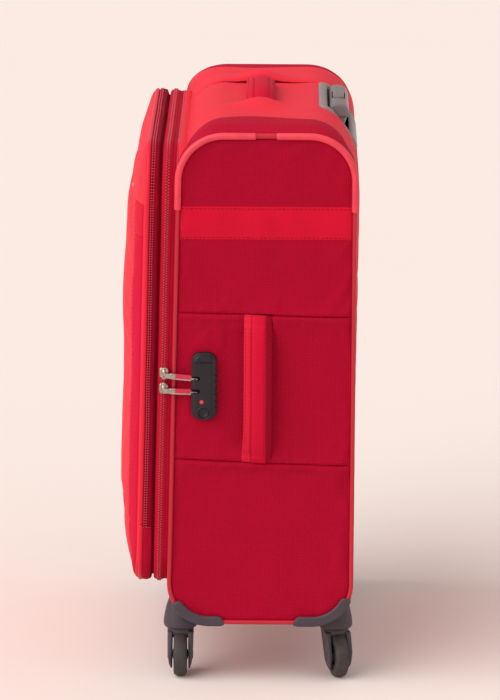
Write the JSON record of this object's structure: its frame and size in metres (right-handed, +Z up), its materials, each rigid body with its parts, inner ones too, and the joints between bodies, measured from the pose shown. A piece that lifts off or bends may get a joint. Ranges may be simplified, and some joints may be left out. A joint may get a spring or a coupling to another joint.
{
  "type": "softside upright suitcase",
  "caption": "Softside upright suitcase with a zipped lid, front pocket, side lock, carry handles, telescopic trolley handle and swivel casters.",
  "frame": {"origin": "centre of the footprint, on the floor under the wheels", "axes": "+Z up, +X towards the side with the lock and side carry handle, -Y towards the lid and front pocket, +Y towards the back with the trolley handle"},
  "size_m": [0.4546, 0.284, 0.6881],
  "materials": {
    "red_fabric": "smooth bright red twill polyester, soft sheen",
    "dark_fabric": "dark crimson dobby weave, matte",
    "piping": "satin red cord piping",
    "guard_plastic": "satin salmon red moulded tube",
    "slate_plastic": "fine-grained slate grey moulding",
    "trolley_plastic": "satin warm grey moulding",
    "zip_metal": "polished warm nickel",
    "tube_metal": "satin anodised",
    "tyre": "dark grey polyurethane tread, scuffed",
    "axle_steel": "turned rivet",
    "lining": "thin grey polyester lining"
  },
  "bodies": {
    "root": {"side_panel_right": "dark_fabric", "side_panel_left": "dark_fabric", "top_panel": "red_fabric", "bottom_panel": "red_fabric", "back_panel": "red_fabric", "front_frame": "dark_fabric", "piping_right": "piping", "piping_left": "piping", "corner_guard_front_right": "guard_plastic", "corner_guard_back_right": "guard_plastic", "corner_guard_front_left": "guard_plastic", "corner_guard_back_left": "guard_plastic", "caster_housing_front_right": "slate_plastic", "caster_housing_front_left": "slate_plastic", "caster_housing_back_right": "slate_plastic", "caster_housing_back_left": "slate_plastic", "lock_body": "slate_plastic", "side_handle": "red_fabric", "top_handle": "red_fabric", "trolley_bezel": "trolley_plastic", "outer_tube_right": "tube_metal", "outer_tube_left": "tube_metal", "trolley_base": "slate_plastic", "lining_panel": "lining", "packing_strap": "lining"},
    "lid": {"lid_frame": "red_fabric", "lid_divider": "lining"},
    "front_pocket": {"pocket_panel": "red_fabric"},
    "pocket_zip_slider": {"pocket_slider": "zip_metal"},
    "trolley_middle": {"middle_tube_right": "tube_metal", "middle_tube_left": "tube_metal"},
    "trolley_handle": {"inner_tube_right": "tube_metal", "inner_tube_left": "tube_metal", "trolley_grip": "trolley_plastic"},
    "trolley_button": {"trolley_button": "trolley_plastic"},
    "zip_slider_upper": {"zip_slider_upper": "zip_metal"},
    "zip_slider_lower": {"zip_slider_lower": "zip_metal"},
    "pull_tab_upper": {"pull_tab_upper": "zip_metal"},
    "pull_tab_lower": {"pull_tab_lower": "zip_metal"},
    "lock_dial_1": {"lock_dial_1": "slate_plastic"},
    "lock_dial_2": {"lock_dial_2": "slate_plastic"},
    "lock_dial_3": {"lock_dial_3": "slate_plastic"},
    "lock_key_cylinder": {"lock_key_cylinder": "slate_plastic"},
    "lock_release": {"lock_release_button": "slate_plastic"},
    "caster_front_right": {"caster_fork_front_right": "slate_plastic", "caster_axle_front_right": "axle_steel"},
    "wheel_front_right": {"caster_tyre_front_right": "tyre", "caster_hub_front_right": "slate_plastic"},
    "caster_front_left": {"caster_fork_front_left": "slate_plastic", "caster_axle_front_left": "axle_steel"},
    "wheel_front_left": {"caster_tyre_front_left": "tyre", "caster_hub_front_left": "slate_plastic"},
    "caster_back_right": {"caster_fork_back_right": "slate_plastic", "caster_axle_back_right": "axle_steel"},
    "wheel_back_right": {"caster_tyre_back_right": "tyre", "caster_hub_back_right": "slate_plastic"},
    "caster_back_left": {"caster_fork_back_left": "slate_plastic", "caster_axle_back_left": "axle_steel"},
    "wheel_back_left": {"caster_tyre_back_left": "tyre", "caster_hub_back_left": "slate_plastic"}
  },
  "joints": [
    {"name": "lid_hinge", "type": "hinge", "parent": "root", "child": "lid", "pos_m": [-0.22215, -0.08509, 0.37621], "axis": [0, -0.0214, -0.9998], "range_deg": [0, 150]},
    {"name": "pocket_fold", "type": "hinge", "parent": "lid", "child": "front_pocket", "pos_m": [-0.00815, -0.14054, 0.19236], "axis": [1, 0, 0], "range_deg": [0, 70]},
    {"name": "pocket_slider_slide", "type": "slide", "parent": "front_pocket", "child": "pocket_zip_slider", "axis": [1, 0, 0], "range_m": [-0.28, 0]},
    {"name": "trolley_stage_1", "type": "slide", "parent": "root", "child": "trolley_middle", "axis": [0, 0, 1], "range_m": [0, 0.205]},
    {"name": "trolley_stage_2", "type": "slide", "parent": "trolley_middle", "child": "trolley_handle", "axis": [0, 0, 1], "range_m": [0, 0.205]},
    {"name": "trolley_button_press", "type": "slide", "parent": "trolley_handle", "child": "trolley_button", "axis": [0, 0, -1], "range_m": [0, 0.003], "stiffness_N_per_m": 200},
    {"name": "zip_slider_upper_slide", "type": "slide", "parent": "root", "child": "zip_slider_upper", "axis": [0, 0.0214, 0.9998], "range_m": [0, 0.18]},
    {"name": "zip_slider_lower_slide", "type": "slide", "parent": "root", "child": "zip_slider_lower", "axis": [0, 0.0214, 0.9998], "range_m": [-0.18, 0]},
    {"name": "pull_tab_upper_swing", "type": "hinge", "parent": "zip_slider_upper", "child": "pull_tab_upper", "pos_m": [0.21055, -0.08509, 0.37621], "axis": [0, -0.0214, -0.9998], "range_deg": [0, 90]},
    {"name": "pull_tab_lower_swing", "type": "hinge", "parent": "zip_slider_lower", "child": "pull_tab_lower", "pos_m": [0.21055, -0.08547, 0.35822], "axis": [0, -0.0214, -0.9998], "range_deg": [0, 90]},
    {"name": "lock_dial_1_spin", "type": "hinge", "parent": "root", "child": "lock_dial_1", "pos_m": [0.21085, -0.02649, 0.375], "axis": [0, 0, 1], "continuous": true},
    {"name": "lock_dial_2_spin", "type": "hinge", "parent": "root", "child": "lock_dial_2", "pos_m": [0.21085, -0.02649, 0.3595], "axis": [0, 0, 1], "continuous": true},
    {"name": "lock_dial_3_spin", "type": "hinge", "parent": "root", "child": "lock_dial_3", "pos_m": [0.21085, -0.02649, 0.3438], "axis": [0, 0, 1], "continuous": true},
    {"name": "lock_key_turn", "type": "hinge", "parent": "root", "child": "lock_key_cylinder", "pos_m": [0.21185, -0.03708, 0.3332], "axis": [1, 0, 0], "range_deg": [0, 90]},
    {"name": "lock_release_press", "type": "slide", "parent": "root", "child": "lock_release", "axis": [-1, 0, 0], "range_m": [0, 0.002], "stiffness_N_per_m": 100},
    {"name": "caster_front_right_swivel", "type": "hinge", "parent": "root", "child": "caster_front_right", "pos_m": [0.16385, -0.06509, 0.056], "axis": [0, 0, 1], "continuous": true},
    {"name": "wheel_front_right_spin", "type": "hinge", "parent": "caster_front_right", "child": "wheel_front_right", "pos_m": [0.17785, -0.06509, 0.026], "axis": [0, 1, 0], "continuous": true},
    {"name": "caster_front_left_swivel", "type": "hinge", "parent": "root", "child": "caster_front_left", "pos_m": [-0.18015, -0.06509, 0.056], "axis": [0, 0, 1], "continuous": true},
    {"name": "wheel_front_left_spin", "type": "hinge", "parent": "caster_front_left", "child": "wheel_front_left", "pos_m": [-0.16628, -0.06314, 0.026], "axis": [-0.1392, 0.9903, 0], "continuous": true},
    {"name": "caster_back_right_swivel", "type": "hinge", "parent": "root", "child": "caster_back_right", "pos_m": [0.16385, 0.11991, 0.056], "axis": [0, 0, 1], "continuous": true},
    {"name": "wheel_back_right_spin", "type": "hinge", "parent": "caster_back_right", "child": "wheel_back_right", "pos_m": [0.17744, 0.1233, 0.026], "axis": [-0.2419, 0.9703, 0], "continuous": true},
    {"name": "caster_back_left_swivel", "type": "hinge", "parent": "root", "child": "caster_back_left", "pos_m": [-0.18015, 0.11991, 0.056], "axis": [0, 0, 1], "continuous": true},
    {"name": "wheel_back_left_spin", "type": "hinge", "parent": "caster_back_left", "child": "wheel_back_left", "pos_m": [-0.16622, 0.11845, 0.026], "axis": [0.1045, 0.9945, 0], "continuous": true}
  ]
}
